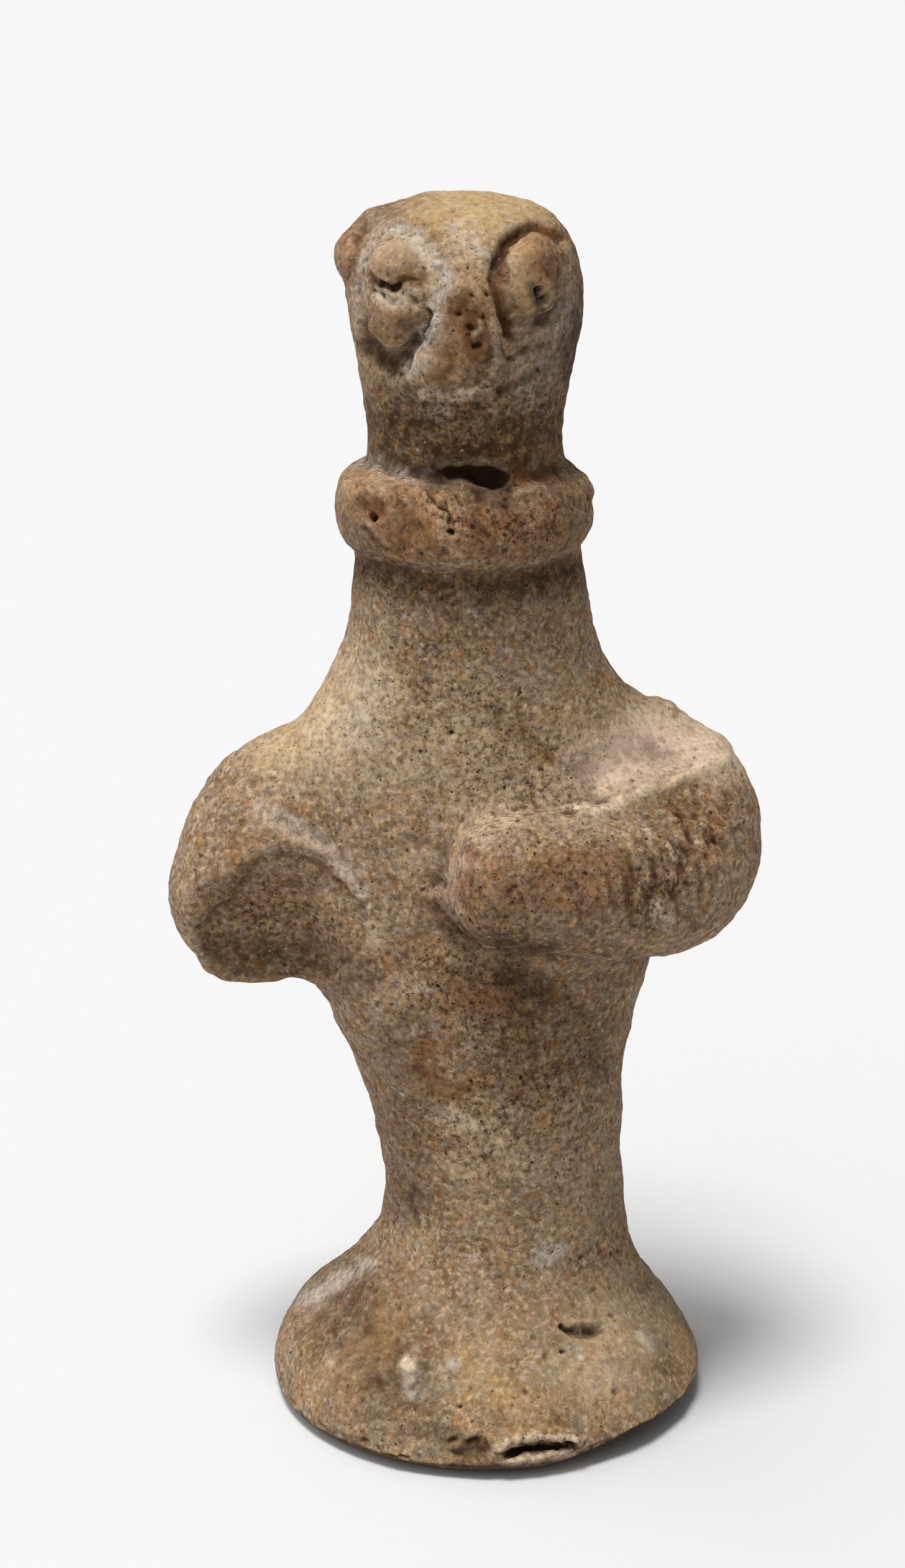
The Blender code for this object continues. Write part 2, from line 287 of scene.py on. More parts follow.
COLLAR_MARKS = {
    "pinhole": (-1.5, 0.45, ((-10.95, 89.4), (-10.7, 89.3))),
    "scratch": (0.35, 0.4, ((-10.9, 88.7), (-9.9, 87.7), (-9.0, 86.8))),
    "scratch shadow": (-0.35, 0.4, ((-11.4, 88.2), (-10.4, 87.1), (-9.5, 86.2))),
    "crack 1": (-0.6, 0.45, ((-5.2, 91.0), (-4.6, 90.4), (-3.9, 90.2))),
    "crack 2": (-0.7, 0.45, ((-4.2, 90.0), (-3.6, 89.6), (-3.4, 88.9))),
    "crack 3": (-0.4, 0.35, ((-2.8, 91.2), (-2.4, 90.4))),
    "second pinhole": (-1.3, 0.4, ((-3.3, 88.0), (-3.1, 87.9))),
    "worm of clay": (
        0.35,
        0.35,
        ((2.6, 91.0), (4.1, 91.4), (5.1, 91.6), (5.7, 91.0), (6.1, 90.4), (6.6, 90.6)),
    ),
    "right scratch": (0.3, 0.3, ((7.8, 90.2), (9.0, 89.2))),
}
# The arms, the body and the foot, in the same way
BODY_FORMS = {
    "shoulder hollow": (-0.8, 3.4, ((10.2, 63.0), (14.4, 65.6), (18.6, 67.4))),
    "over the hand": (0.3, 2.2, ((6.6, 61.8), (9.6, 62.4), (12.0, 63.0))),
    "chest beside the hand": (0.5, 3.0, ((-6.8, 54.0), (-6.2, 50.0))),
    "end of the hand": (-0.25, 2.2, ((-3.7, 56.0), (-3.9, 53.5), (-2.9, 50.5))),
    "forearm top edge": (
        0.55,
        1.1,
        ((8.8, 59.5), (11.3, 60.3), (13.4, 61.1), (16.1, 62.5), (19.6, 64.0), (22.4, 65.0)),
    ),
    "hand top": (0.35, 1.4, ((-1.3, 56.8), (0.8, 58.0), (4.3, 58.9), (8.8, 59.2))),
    "crease round the hand": (
        0.5,
        1.5,
        ((-4.5, 51.6), (-2.7, 48.6), (0.5, 46.4), (5.8, 44.8), (12.8, 44.8)),
    ),
    "hand knuckle": (0.3, 2.0, ((-1.0, 54.4), (0.6, 51.0))),
    "hollow between hand and wrist": (-0.3, 2.4, ((5.4, 54.6), (6.4, 50.6))),
    "belly fold": (-0.35, 2.2, ((1.0, 43.0), (7.0, 41.6))),
    "low on the broken face": (-0.25, 3.0, ((-24.0, 46.6), (-17.0, 46.0))),
    "facet crest left": (
        0.15,
        0.9,
        ((-28.3, 49.0), (-25.8, 52.0), (-24.3, 54.2), (-23.0, 55.9), (-21.4, 56.9)),
    ),
    "facet crest right": (
        0.35,
        0.9,
        ((-19.4, 57.2), (-17.5, 57.0), (-15.9, 56.0), (-14.6, 54.6), (-13.3, 53.1), (-11.9, 51.7)),
    ),
    "foot left plane": (-0.4, 2.6, ((-12.4, 13.4), (-14.6, 11.0), (-17.6, 7.6))),
    "foot shoulder": (0.4, 2.0, ((15.1, 12.2), (16.9, 10.6), (18.2, 8.8))),
    "dark lump on the rim": (0.4, 2.0, ((-4.2, -6.8), (-2.2, -7.0))),
    "over the chip": (0.4, 1.2, ((0.6, -7.4), (3.0, -6.6), (6.6, -6.4), (9.4, -7.2))),
    "dip left of the chip": (-0.35, 1.6, ((-8.4, -7.0), (-6.2, -6.2))),
}
BODY_AREAS = {
    "broken face of the arm": (
        -0.46,
        0.65,
        (
            (-28.5, 48.3),
            (-26.7, 49.9),
            (-25.4, 51.2),
            (-23.9, 53.4),
            (-22.7, 55.1),
            (-21.5, 55.9),
            (-19.7, 56.3),
            (-17.8, 56.0),
            (-16.2, 55.4),
            (-14.8, 54.2),
            (-13.3, 52.5),
            (-11.6, 51.2),
            (-11.0, 49.0),
            (-11.8, 45.6),
            (-15.4, 42.4),
            (-19.0, 41.8),
            (-24.0, 42.2),
            (-27.6, 44.8),
        ),
    ),
}
BODY_MARKS = {
    "flake": (0.4, 0.5, ((7.3, 60.2), (8.1, 60.5), (9.0, 60.6), (9.6, 60.3))),
    "flake shadow": (-0.45, 0.4, ((7.3, 59.7), (8.3, 59.6), (9.5, 59.8))),
    "hand line 1": (-0.2, 0.4, ((-4.9, 51.2), (-3.8, 49.2), (-2.3, 47.8))),
    "elbow fold 1": (0.3, 0.5, ((16.9, 57.3), (18.0, 55.4), (18.9, 53.5))),
    "elbow fold 2": (0.25, 0.4, ((20.7, 58.0), (21.8, 56.1))),
    "elbow fold 3": (0.25, 0.4, ((23.5, 58.7), (24.6, 59.5))),
    "elbow pit 1": (-0.45, 0.6, ((14.8, 54.3), (15.0, 53.5))),
    "elbow pit 2": (-0.4, 0.5, ((21.5, 57.3), (22.2, 56.9))),
    "elbow pit 3": (-0.35, 0.45, ((18.0, 56.9), (18.3, 56.5))),
    "elbow pit 4": (-0.35, 0.45, ((16.2, 49.9), (16.6, 48.8))),
    "chest hole": (-0.9, 0.35, ((-3.45, 68.0), (-3.35, 68.0))),
    "neck hole": (-0.6, 0.3, ((-4.25, 81.2), (-4.15, 81.2))),
    "foot pit": (-0.5, 0.9, ((8.6, 4.9), (9.6, 4.7), (10.6, 5.0))),
    "foot pit left": (-0.6, 0.45, ((7.3, 5.5), (7.9, 5.0))),
    "foot pit lip": (0.5, 0.7, ((8.6, 6.2), (9.8, 6.0), (10.9, 5.7))),
    "foot pit crumb": (0.4, 0.45, ((9.2, 5.1), (9.6, 4.9))),
    "foot pit sill": (0.25, 0.5, ((8.2, 3.8), (9.8, 3.6))),
    "foot small pit": (-0.6, 0.4, ((7.5, 2.9), (7.7, 2.8))),
    "foot grain 1": (0.4, 0.75, ((-8.1, 1.5), (-8.0, 1.4))),
    "foot grain 2": (0.25, 0.45, ((9.5, 2.0), (9.6, 2.0))),
    "foot grain 3": (0.25, 0.5, ((-15.8, 1.4), (-15.7, 1.3))),
    "foot grain 4": (0.3, 0.8, ((15.4, 4.5), (15.8, 3.7))),
    "foot pinhole": (-0.6, 0.35, ((-2.8, -3.2), (-2.75, -3.2))),
    "rim crumb 1": (0.5, 0.6, ((1.0, -8.2), (1.8, -7.3))),
    "rim crumb 2": (0.45, 0.6, ((8.6, -7.3), (9.4, -7.7))),
    "rim crumb 3": (0.4, 0.5, ((2.6, -7.2), (3.2, -7.0))),
    "rim crumb 4": (0.4, 0.5, ((4.6, -6.9), (5.4, -6.7))),
    "rim crumb 5": (0.35, 0.45, ((6.6, -6.8), (7.2, -7.0))),
    "rim slot": (-1.6, 0.5, ((2.0, -8.7), (3.4, -8.2), (5.2, -7.9), (7.4, -7.7), (8.9, -7.9))),
    "rim strip": (0.3, 0.4, ((1.6, -9.6), (3.6, -9.3), (6.0, -9.1), (8.6, -8.6))),
    "rim dirt 1": (-0.4, 0.5, ((-3.8, -7.4), (-3.2, -7.0))),
    "rim dirt 2": (-0.4, 0.45, ((-1.9, -7.4), (-1.2, -7.2))),
}
# Forms that stand out where the figure turns away from the eye, so that they shape its outline
OUTLINE_FORMS = {
    "between crown and lobe": (0.4, 2.0, ((-10.8, 118.3), (-9.8, 119.0))),
    "top of the left lobe": (-0.35, 3.0, ((-12.4, 117.6), (-13.0, 116.6))),
    "low corner of the stump": (0.6, 2.4, ((-27.2, 43.4), (-25.2, 41.6))),
    "under the stump": (-0.4, 2.4, ((-18.6, 41.6), (-15.8, 40.4))),
    "shoulder bump": (0.5, 1.3, ((16.0, 71.2), (17.4, 70.8))),
    "shoulder dip": (-0.25, 1.5, ((19.8, 69.2), (20.4, 68.6))),
    "shoulder second bump": (0.25, 1.2, ((22.2, 67.2), (22.8, 66.8))),
    "collar left corner": (0.3, 1.6, ((-12.6, 93.0), (-12.2, 93.4))),
    "collar right corner": (0.3, 1.4, ((9.2, 92.6), (9.6, 92.0))),
    "foot right notch": (-0.35, 1.4, ((14.8, 10.8), (15.4, 10.2))),
}

# Patches that are lighter (over 0) or darker (under 0) than the rest: how much, spread and line. Some are the
# clay's own tone, some are painted light and shade, and many are both: painted shade in the gaps, slits,
# holes, grooves and pits, under the collar, beak, eye, hand, forearm and stump, on the neck, belly and the
# head's right side, and painted highlights on the crown, the tops of the lids, shoulders and hand, the lit
# shoulder hollow and the crests over the forearm and the break.
TONES_AND_PAINTED_LIGHT = {
    "crown": (0.75, 7.0, ((-3.5, 119.8), (5.0, 119.8))),
    "beak top": (0.7, 3.2, ((-1.5, 116.5), (-1.3, 112.5))),
    "left upper lid": (0.55, 3.0, ((-9.4, 114.0), (-7.0, 114.0))),
    "left lower lid top": (0.5, 1.5, ((-9.6, 109.8), (-7.4, 109.8))),
    "left lower lid": (-0.7, 2.6, ((-9.8, 107.4), (-7.2, 107.2))),
    "slit": (-0.8, 0.9, ((-10.4, 111.6), (-8.8, 110.9), (-7.2, 111.5))),
    "lime band": (
        0.6,
        1.5,
        ((-8.1, 116.4), (-5.8, 114.5), (-4.1, 111.8), (-4.4, 109.6), (-5.8, 106.6), (-6.9, 103.7)),
    ),
    "left socket": (-0.5, 0.8, ((-11.3, 117.2), (-11.6, 115.4), (-11.9, 113.6), (-12.2, 111.5))),
    "left of the lime band": (-1.0, 0.9, ((-5.4, 108.4), (-5.5, 107.2), (-6.0, 106.0))),
    "groove": (
        -1.6,
        0.7,
        (
            (6.2, 115.8),
            (4.2, 116.4),
            (3.0, 116.1),
            (1.7, 115.0),
            (1.1, 113.3),
            (0.8, 111.5),
            (0.9, 109.6),
            (1.9, 107.0),
        ),
    ),
    "pellet left edge": (0.8, 0.9, ((3.2, 115.3), (2.3, 114.0), (1.9, 112.4), (2.0, 110.6))),
    "pellet": (-0.8, 2.4, ((5.0, 113.4), (4.6, 110.4))),
    "pellet outer groove": (-0.6, 1.3, ((6.6, 113.6), (6.7, 111.6), (6.0, 109.4), (4.4, 107.8))),
    "right eye hole": (-1.5, 0.9, ((4.0, 110.6), (4.4, 110.4), (4.6, 109.8))),
    "under the left eye": (
        -1.3,
        1.5,
        ((-10.9, 105.6), (-9.8, 104.3), (-8.4, 103.6), (-7.2, 104.0), (-6.5, 105.0)),
    ),
    "beak scar": (-1.6, 2.4, ((-2.2, 109.0), (-1.2, 108.0), (-0.8, 105.6))),
    "beak bottom": (-0.7, 2.2, ((-3.8, 102.6), (-2.1, 102.6), (-0.6, 103.8), (-0.6, 106.0))),
    "beak rim": (0.6, 0.9, ((-5.7, 101.0), (-3.6, 100.7), (-1.8, 100.8), (-0.3, 101.6))),
    "beak right edge": (0.4, 0.5, ((0.5, 102.8), (0.7, 105.1), (0.5, 108.0))),
    "beak left side": (-0.5, 1.5, ((-3.0, 108.5), (-3.8, 105.5), (-4.6, 103.2))),
    "forehead hollow": (-0.4, 1.6, ((-8.4, 117.2), (-6.0, 116.6), (-4.6, 115.6))),
    "crown left": (-0.7, 3.0, ((-9.6, 118.6), (-7.0, 119.4))),
    "head right edge": (-0.9, 2.4, ((7.6, 117.0), (9.4, 113.0), (9.2, 108.0), (8.2, 103.0))),
    "right cheek": (-0.65, 3.8, ((3.0, 103.8), (6.2, 103.4), (7.2, 108.0))),
    "neck": (-1.15, 6.4, ((-8.6, 97.6), (5.4, 97.6))),
    "neck tan": (0.4, 2.6, ((-3.2, 97.2), (0.8, 96.0))),
    "gap at the throat": (-3.0, 1.4, ((-4.0, 93.5), (-2.6, 93.8), (-1.0, 93.9), (0.9, 93.6))),
    "over the gap": (-1.7, 2.2, ((-3.8, 95.0), (2.4, 94.8))),
    "over the gap left": (-1.0, 1.0, ((-9.0, 94.6), (-6.0, 94.2))),
    "gap right": (-1.2, 1.4, ((1.6, 93.4), (4.1, 93.3), (6.1, 93.2))),
    "gap below": (-2.0, 1.4, ((-1.0, 92.4), (0.3, 91.9), (1.6, 92.0))),
    "collar top left": (0.4, 2.2, ((-12.2, 91.8), (-8.0, 92.4))),
    "collar": (-0.7, 5.0, ((-10.5, 88.2), (6.5, 88.2))),
    "collar middle": (1.3, 2.2, ((-6.2, 90.4), (-4.0, 88.4), (-3.0, 87.0))),
    "collar right of the middle": (-0.25, 2.4, ((-0.6, 89.8), (0.0, 86.6))),
    "collar under the gap": (-0.9, 1.5, ((0.2, 90.8), (1.8, 90.4))),
    "under the collar": (-1.0, 3.2, ((-12.0, 84.0), (-6.8, 82.6), (0.0, 82.0), (8.6, 83.6))),
    "throat": (-0.15, 5.0, ((-4.0, 78.4), (3.0, 77.4))),
    "chest": (0.6, 13.0, ((-10.0, 69.0), (4.0, 64.0))),
    "chest left": (-0.3, 3.6, ((-12.4, 72.0), (-12.0, 67.5))),
    "chest streak": (-0.55, 1.8, ((-5.2, 77.2), (-6.2, 72.4), (-7.6, 68.4))),
    "chest smudge": (-0.7, 2.2, ((0.8, 69.4), (3.4, 68.0), (6.0, 65.6))),
    "left shoulder": (0.75, 7.0, ((-19.0, 66.5), (-13.0, 71.5))),
    "over the break": (0.5, 2.2, ((-21.8, 60.4), (-19.0, 58.8), (-16.8, 57.4))),
    "shoulder hollow": (1.15, 5.0, ((11.6, 64.4), (15.6, 66.6), (19.6, 67.0), (22.4, 65.6))),
    "hollow top": (0.8, 3.2, ((14.0, 70.0), (18.0, 68.6))),
    "forearm top edge": (1.0, 1.2, ((9.2, 59.8), (13.4, 61.3), (18.6, 63.8), (22.6, 65.2))),
    "forearm": (-0.6, 6.6, ((1.0, 52.0), (15.0, 52.6))),
    "elbow": (-0.25, 6.0, ((19.0, 56.0), (21.0, 60.0))),
    "forearm low": (-0.4, 2.2, ((0.8, 47.0), (5.4, 46.6), (9.6, 46.4), (14.6, 45.2))),
    "under the hand": (-0.8, 1.5, ((-5.2, 50.5), (-3.4, 48.6), (-0.9, 47.1), (2.6, 46.4), (6.1, 46.0))),
    "ring round the hand": (-0.5, 0.9, ((-1.6, 56.1), (-2.3, 53.5), (-2.5, 51.3), (-1.6, 49.4))),
    "hand top": (0.5, 1.0, ((-2.3, 58.0), (0.1, 59.0), (2.9, 59.6))),
    "broken face": (-0.2, 6.0, ((-22.6, 49.6), (-15.6, 49.2))),
    "broken face edge": (
        -0.45,
        1.3,
        ((-26.9, 49.3), (-24.8, 52.0), (-23.3, 54.3), (-21.6, 55.6), (-19.8, 55.9)),
    ),
    "right of the broken face": (0.5, 2.6, ((-15.2, 51.4), (-11.6, 50.2), (-11.0, 46.4))),
    "under the stump": (-0.7, 4.0, ((-25.6, 45.4), (-20.0, 44.4), (-13.0, 43.6))),
    "belly": (-0.45, 9.0, ((-2.0, 43.0), (4.0, 35.0))),
    "belly right": (-0.4, 5.0, ((9.5, 42.0), (9.5, 34.0))),
    "belly dark": (-0.8, 3.2, ((2.6, 43.2), (4.6, 41.5), (3.6, 39.8))),
    "belly light": (0.5, 2.8, ((-6.6, 42.0), (-10.0, 40.0))),
    "waist brown": (-0.6, 1.8, ((-6.4, 33.4), (-4.4, 31.2), (-2.8, 31.2))),
    "waist light": (0.5, 2.4, ((-3.8, 28.2), (-0.9, 27.4), (3.2, 24.5), (2.7, 21.9))),
    "waist right dark": (-0.3, 1.6, ((10.9, 36.6), (10.4, 32.2), (9.9, 29.0), (9.6, 25.2))),
    "waist left streak": (-0.5, 0.9, ((-7.3, 20.9), (-7.2, 18.1))),
    "waist spot": (-1.4, 0.6, ((-0.6, 24.2), (-0.2, 24.0))),
    "waist brown low": (-0.5, 1.6, ((3.0, 20.2), (4.3, 18.8))),
    "waist left": (-0.55, 5.0, ((-8.5, 38.0), (-8.0, 20.0))),
    "waist middle": (0.3, 4.0, ((-1.0, 28.0), (0.0, 18.0))),
    "waist right": (0.35, 5.0, ((8.5, 30.0), (9.5, 18.0))),
    "foot left": (-0.9, 9.0, ((-14.0, 8.0), (-10.0, 0.0))),
    "foot right": (0.6, 7.0, ((13.0, 7.0), (12.0, 1.0))),
    "dark lump on the rim": (-1.2, 1.8, ((-4.4, -6.4), (-2.4, -7.2), (-0.6, -8.0))),
    "foot pit": (-1.1, 1.1, ((8.8, 5.1), (10.8, 5.2))),
    "foot pit left": (-1.4, 0.6, ((7.3, 5.5), (8.0, 4.9))),
    "rim chip": (0.9, 0.9, ((0.6, -8.6), (1.6, -7.4), (5.0, -6.8), (8.8, -7.2), (9.6, -8.0))),
    "rim strip": (0.7, 0.7, ((1.8, -9.6), (5.6, -9.2), (8.6, -8.7))),
    "rim slot": (-2.0, 0.6, ((2.2, -8.7), (5.2, -7.9), (8.8, -7.9))),
}

# Patches of colour, each with strength, spread and line, starting with the yellow clay that fired paler
OCHRE = {
    "crown": (1.0, 6.0, ((-5.0, 119.5), (4.0, 119.5))),
    "eye hole rim": (1.2, 0.6, ((5.3, 111.2), (5.7, 110.2), (5.3, 109.2))),
    "pellet": (0.9, 2.6, ((3.4, 114.0), (3.4, 110.4))),
    "beak low": (0.7, 2.8, ((-0.8, 109.0), (-1.6, 105.0), (-3.4, 102.8))),
    "beak": (0.7, 2.6, ((-0.8, 117.0), (-0.8, 112.0))),
    "left shoulder": (0.6, 4.5, ((-19.0, 67.5), (-15.0, 71.5))),
    "foot front": (0.5, 5.0, ((-2.0, 2.0), (8.0, 0.0))),
    "foot left": (0.4, 4.0, ((-8.0, 10.0), (-11.0, 4.0))),
    "collar top left": (0.6, 2.4, ((-12.2, 91.6), (-7.0, 91.8))),
}
# Red-brown stains of iron
RUSSET = {
    "left lobe": (0.9, 2.6, ((-13.0, 116.4), (-13.4, 112.2))),
    "lobe edge": (0.3, 1.0, ((-11.6, 117.4), (-11.2, 115.7), (-11.7, 112.9))),
    "left lower lid": (0.8, 2.6, ((-9.8, 107.6), (-7.2, 107.4))),
    "left upper lid": (0.4, 2.4, ((-9.4, 113.6), (-7.4, 113.6))),
    "right pellet": (1.3, 3.0, ((4.4, 114.2), (4.6, 110.8))),
    "groove": (
        1.0,
        0.9,
        ((5.7, 116.0), (3.0, 116.2), (1.7, 114.6), (1.1, 111.5), (1.4, 108.4), (2.2, 106.4)),
    ),
    "beak": (0.8, 2.8, ((-1.3, 110.8), (-1.0, 107.5), (-1.8, 105.0))),
    "beak left side": (0.6, 1.6, ((-3.0, 108.5), (-3.8, 105.5), (-4.6, 103.2))),
    "left of the beak's top": (0.7, 1.2, ((-3.3, 117.5), (-4.2, 116.6))),
    "ring round the hand": (1.0, 0.8, ((-1.6, 56.1), (-2.3, 53.5), (-2.5, 51.3), (-1.6, 49.4))),
    "hand spot": (0.8, 1.4, ((5.7, 56.5), (8.5, 55.0))),
    "collar left": (1.2, 4.0, ((-11.6, 91.2), (-7.0, 91.0))),
    "collar": (0.8, 4.0, ((-9.0, 87.6), (6.0, 87.6))),
    "collar middle": (0.4, 2.2, ((-5.6, 87.6), (-1.0, 87.0))),
    "collar right": (0.6, 3.0, ((3.0, 92.6), (8.4, 91.4))),
    "neck right": (0.5, 1.8, ((1.6, 95.4), (6.0, 96.0))),
    "forearm": (0.7, 4.6, ((1.0, 52.6), (11.0, 52.6))),
    "elbow": (0.4, 4.0, ((21.0, 59.0), (22.0, 62.0))),
    "belly": (0.9, 3.0, ((-3.4, 40.8), (1.0, 40.6))),
    "belly low": (0.9, 1.8, ((-6.2, 35.7), (-4.0, 36.0))),
    "waist brown": (0.8, 1.8, ((-6.4, 33.4), (-4.4, 31.2), (-2.8, 31.2))),
    "stump": (0.5, 2.4, ((-24.6, 56.4), (-22.6, 57.6))),
    "broken face": (0.5, 3.0, ((-24.0, 50.0), (-21.0, 53.0))),
}
# Grey-white crusts of lime from the ground
LIME = {
    "between eye and beak": (
        1.3,
        1.4,
        (
            (-8.1, 116.4),
            (-6.8, 115.7),
            (-5.8, 114.5),
            (-4.6, 113.1),
            (-4.0, 111.8),
            (-4.2, 110.3),
            (-4.8, 109.0),
            (-5.4, 107.8),
            (-5.8, 106.6),
            (-6.4, 105.1),
            (-6.9, 103.7),
        ),
    ),
    "lower lid": (0.8, 1.2, ((-9.8, 110.2), (-8.4, 109.8), (-6.8, 110.2))),
    "left socket rim": (
        0.7,
        0.8,
        ((-9.4, 116.4), (-10.6, 115.1), (-11.4, 113.3), (-11.8, 111.2), (-11.9, 108.4)),
    ),
    "beak specks": (0.7, 1.7, ((-3.0, 116.3), (-1.2, 114.8), (0.0, 113.3))),
    "right cheek": (0.4, 3.0, ((3.2, 104.0), (4.0, 101.0), (6.8, 109.4))),
    "chin": (0.9, 1.0, ((-4.8, 99.3), (-4.0, 99.1))),
    "collar top": (0.9, 1.2, ((-11.6, 94.6), (-9.6, 93.9), (-7.1, 93.2), (-5.6, 92.9))),
    "chest left": (0.5, 3.0, ((-12.4, 72.0), (-12.0, 67.5))),
    "over the break": (
        0.8,
        1.1,
        ((-21.6, 61.0), (-19.6, 59.8), (-17.6, 58.4), (-15.6, 56.6), (-13.4, 54.0), (-11.8, 52.0)),
    ),
    "elbow": (0.7, 1.2, ((16.3, 50.5), (17.0, 49.0))),
    "waist": (0.7, 1.0, ((-3.0, 28.8), (-1.2, 27.6))),
    "foot upper": (1.1, 1.6, ((5.4, 13.2), (7.4, 14.2))),
    "foot right": (0.9, 1.2, ((15.4, 4.5), (16.1, 3.3))),
    "foot left": (0.9, 1.5, ((-18.0, 8.6), (-14.3, 11.2), (-12.0, 12.4))),
    "foot grain 1": (1.5, 0.8, ((-8.1, 1.5), (-8.0, 1.4))),
    "foot grain 2": (1.2, 0.5, ((9.5, 2.0), (9.6, 2.0))),
    "foot front 1": (0.8, 1.2, ((-4.4, 1.4), (-3.4, 1.4))),
    "foot front 2": (0.7, 1.5, ((-7.5, -0.1), (-7.2, -2.4))),
    "foot front 3": (0.7, 0.9, ((3.9, -0.1), (4.1, 0.9))),
}
# Black earth and painted shade, nearly black, in the deepest gaps, holes and slits
BLACK_EARTH_AND_PAINTED_SHADE = {
    "gap at the throat": (1.8, 1.5, ((-3.8, 93.6), (-2.0, 93.7), (0.4, 93.4), (1.2, 92.6))),
    "right eye hole": (1.8, 0.75, ((4.1, 111.0), (4.3, 110.4), (4.6, 109.7))),
    "eye slit": (1.0, 0.45, ((-9.6, 111.1), (-8.8, 110.8), (-8.2, 111.0))),
    "right of the left eye": (1.0, 0.5, ((-5.5, 108.6), (-5.4, 107.4), (-5.8, 106.4))),
    "rim slot": (1.2, 0.5, ((2.6, -8.6), (5.2, -7.9), (8.6, -7.9))),
}
# A thin pale pinkish film of clay
PINK = {
    "shoulder hollow": (1.2, 5.5, ((11.0, 64.4), (15.0, 66.8), (21.0, 66.8))),
    "over the break": (0.8, 1.4, ((-21.6, 59.6), (-17.4, 57.6), (-15.0, 55.6), (-13.2, 53.4))),
    "chip": (1.0, 0.9, ((0.8, -8.2), (4.4, -6.9), (9.0, -7.2))),
    "strip": (1.0, 0.8, ((1.8, -9.6), (8.6, -8.8))),
    "cheek band": (0.7, 1.2, ((-4.6, 106.4), (-7.2, 102.8))),
    "beak rim": (1.0, 0.8, ((-5.7, 101.0), (-3.6, 100.7), (-1.8, 100.8), (-0.3, 101.6))),
    "beak right edge": (0.5, 0.5, ((0.5, 102.8), (0.7, 105.1), (0.5, 108.0))),
    "hand": (0.7, 1.6, ((-2.7, 55.0), (-3.6, 52.0), (-3.2, 49.6))),
    "foot left": (0.6, 1.6, ((-18.4, 7.6), (-14.3, 10.8))),
}
# Cream-coloured grains and bare crumbs
CREAM = {
    "foot grain 1": (1.4, 1.0, ((-8.2, 1.5), (-7.9, 1.3))),
    "foot grain 2": (1.0, 0.5, ((9.5, 2.0), (9.6, 2.0))),
    "foot grain 3": (0.7, 0.6, ((-15.8, 1.4), (-15.7, 1.3))),
    "foot grain 4": (0.8, 0.8, ((15.4, 4.6), (15.7, 3.9))),
    "elbow crumb 2": (0.8, 0.45, ((17.0, 50.0), (17.7, 48.8))),
    "elbow crumb 3": (0.8, 0.4, ((19.6, 57.6), (20.2, 56.6))),
    "elbow crumb 4": (0.7, 0.4, ((17.4, 56.6), (18.2, 55.2))),
    "elbow crumb 5": (0.7, 0.4, ((15.2, 58.2), (15.6, 57.0))),
    "flake": (1.2, 0.45, ((7.4, 60.3), (8.1, 60.5), (9.0, 60.6), (9.5, 60.3))),
    "scar chip": (0.5, 0.4, ((-0.4, 107.7), (-0.6, 106.8), (-1.2, 106.3))),
    "rim crumbs": (0.6, 0.7, ((1.0, -8.2), (1.8, -7.3), (5.0, -6.8), (7.8, -7.0), (9.4, -7.7))),
    "rim strip": (0.6, 0.5, ((2.6, -9.4), (6.0, -9.1), (8.4, -8.7))),
    "elbow crumb": (0.7, 0.5, ((16.3, 50.6), (16.9, 49.2))),
    "stump crumb": (0.9, 0.35, ((-12.9, 53.0), (-12.7, 52.9))),
    "stump crumb 2": (0.8, 0.35, ((-12.3, 51.8), (-11.7, 51.7))),
    "chest crumb": (0.9, 0.35, ((-5.0, 47.9), (-4.8, 47.8))),
}

# Where the clay is speckled more (over 0) or less (under 0) than the rest
SPECKS = {
    "crown": (-0.5, 7.0, ((-6.0, 119.8), (5.0, 119.8))),
    "pellet": (-0.4, 2.4, ((3.4, 113.6), (4.0, 110.8))),
    "upper lid": (-0.5, 2.4, ((-9.4, 113.8), (-7.2, 113.8))),
    "neck": (0.7, 6.0, ((-8.0, 97.6), (6.0, 97.6))),
    "under the collar": (0.5, 4.0, ((-12.0, 84.0), (-6.8, 82.6), (0.0, 82.0), (8.6, 83.6))),
    "collar right": (0.7, 4.0, ((-1.0, 88.4), (5.0, 88.4))),
    "collar crack": (0.7, 1.8, ((-5.4, 90.8), (-3.4, 88.8))),
    "chest": (0.4, 10.0, ((-4.0, 74.0), (3.0, 64.0))),
    "shoulder hollow": (-0.45, 6.0, ((12.0, 65.0), (16.0, 67.4), (21.0, 67.0))),
    "left shoulder": (-0.2, 7.0, ((-19.0, 66.5), (-13.0, 71.5))),
    "forearm": (0.4, 6.6, ((1.0, 52.0), (15.0, 52.6))),
    "elbow": (0.5, 5.0, ((16.0, 52.0), (20.6, 58.6))),
    "belly": (0.6, 9.0, ((-3.0, 43.0), (4.0, 33.0))),
    "waist": (0.3, 7.0, ((-5.0, 27.0), (6.0, 25.0))),
    "broken face": (0.5, 6.0, ((-22.6, 49.6), (-15.6, 49.2))),
    "foot": (-0.45, 12.0, ((-14.0, 4.0), (14.0, 3.0))),
}

# The least and the most that the clay is speckled anywhere
FEWEST_AND_MOST_SPECKS = (0.25, 1.8)
# Where the foot's own mottling starts to fade, and over what height
FOOT_TOP = (11.0, 6.0)

# The clay that all the rest lies on
CLAY_COLOUR = "#8a7459"
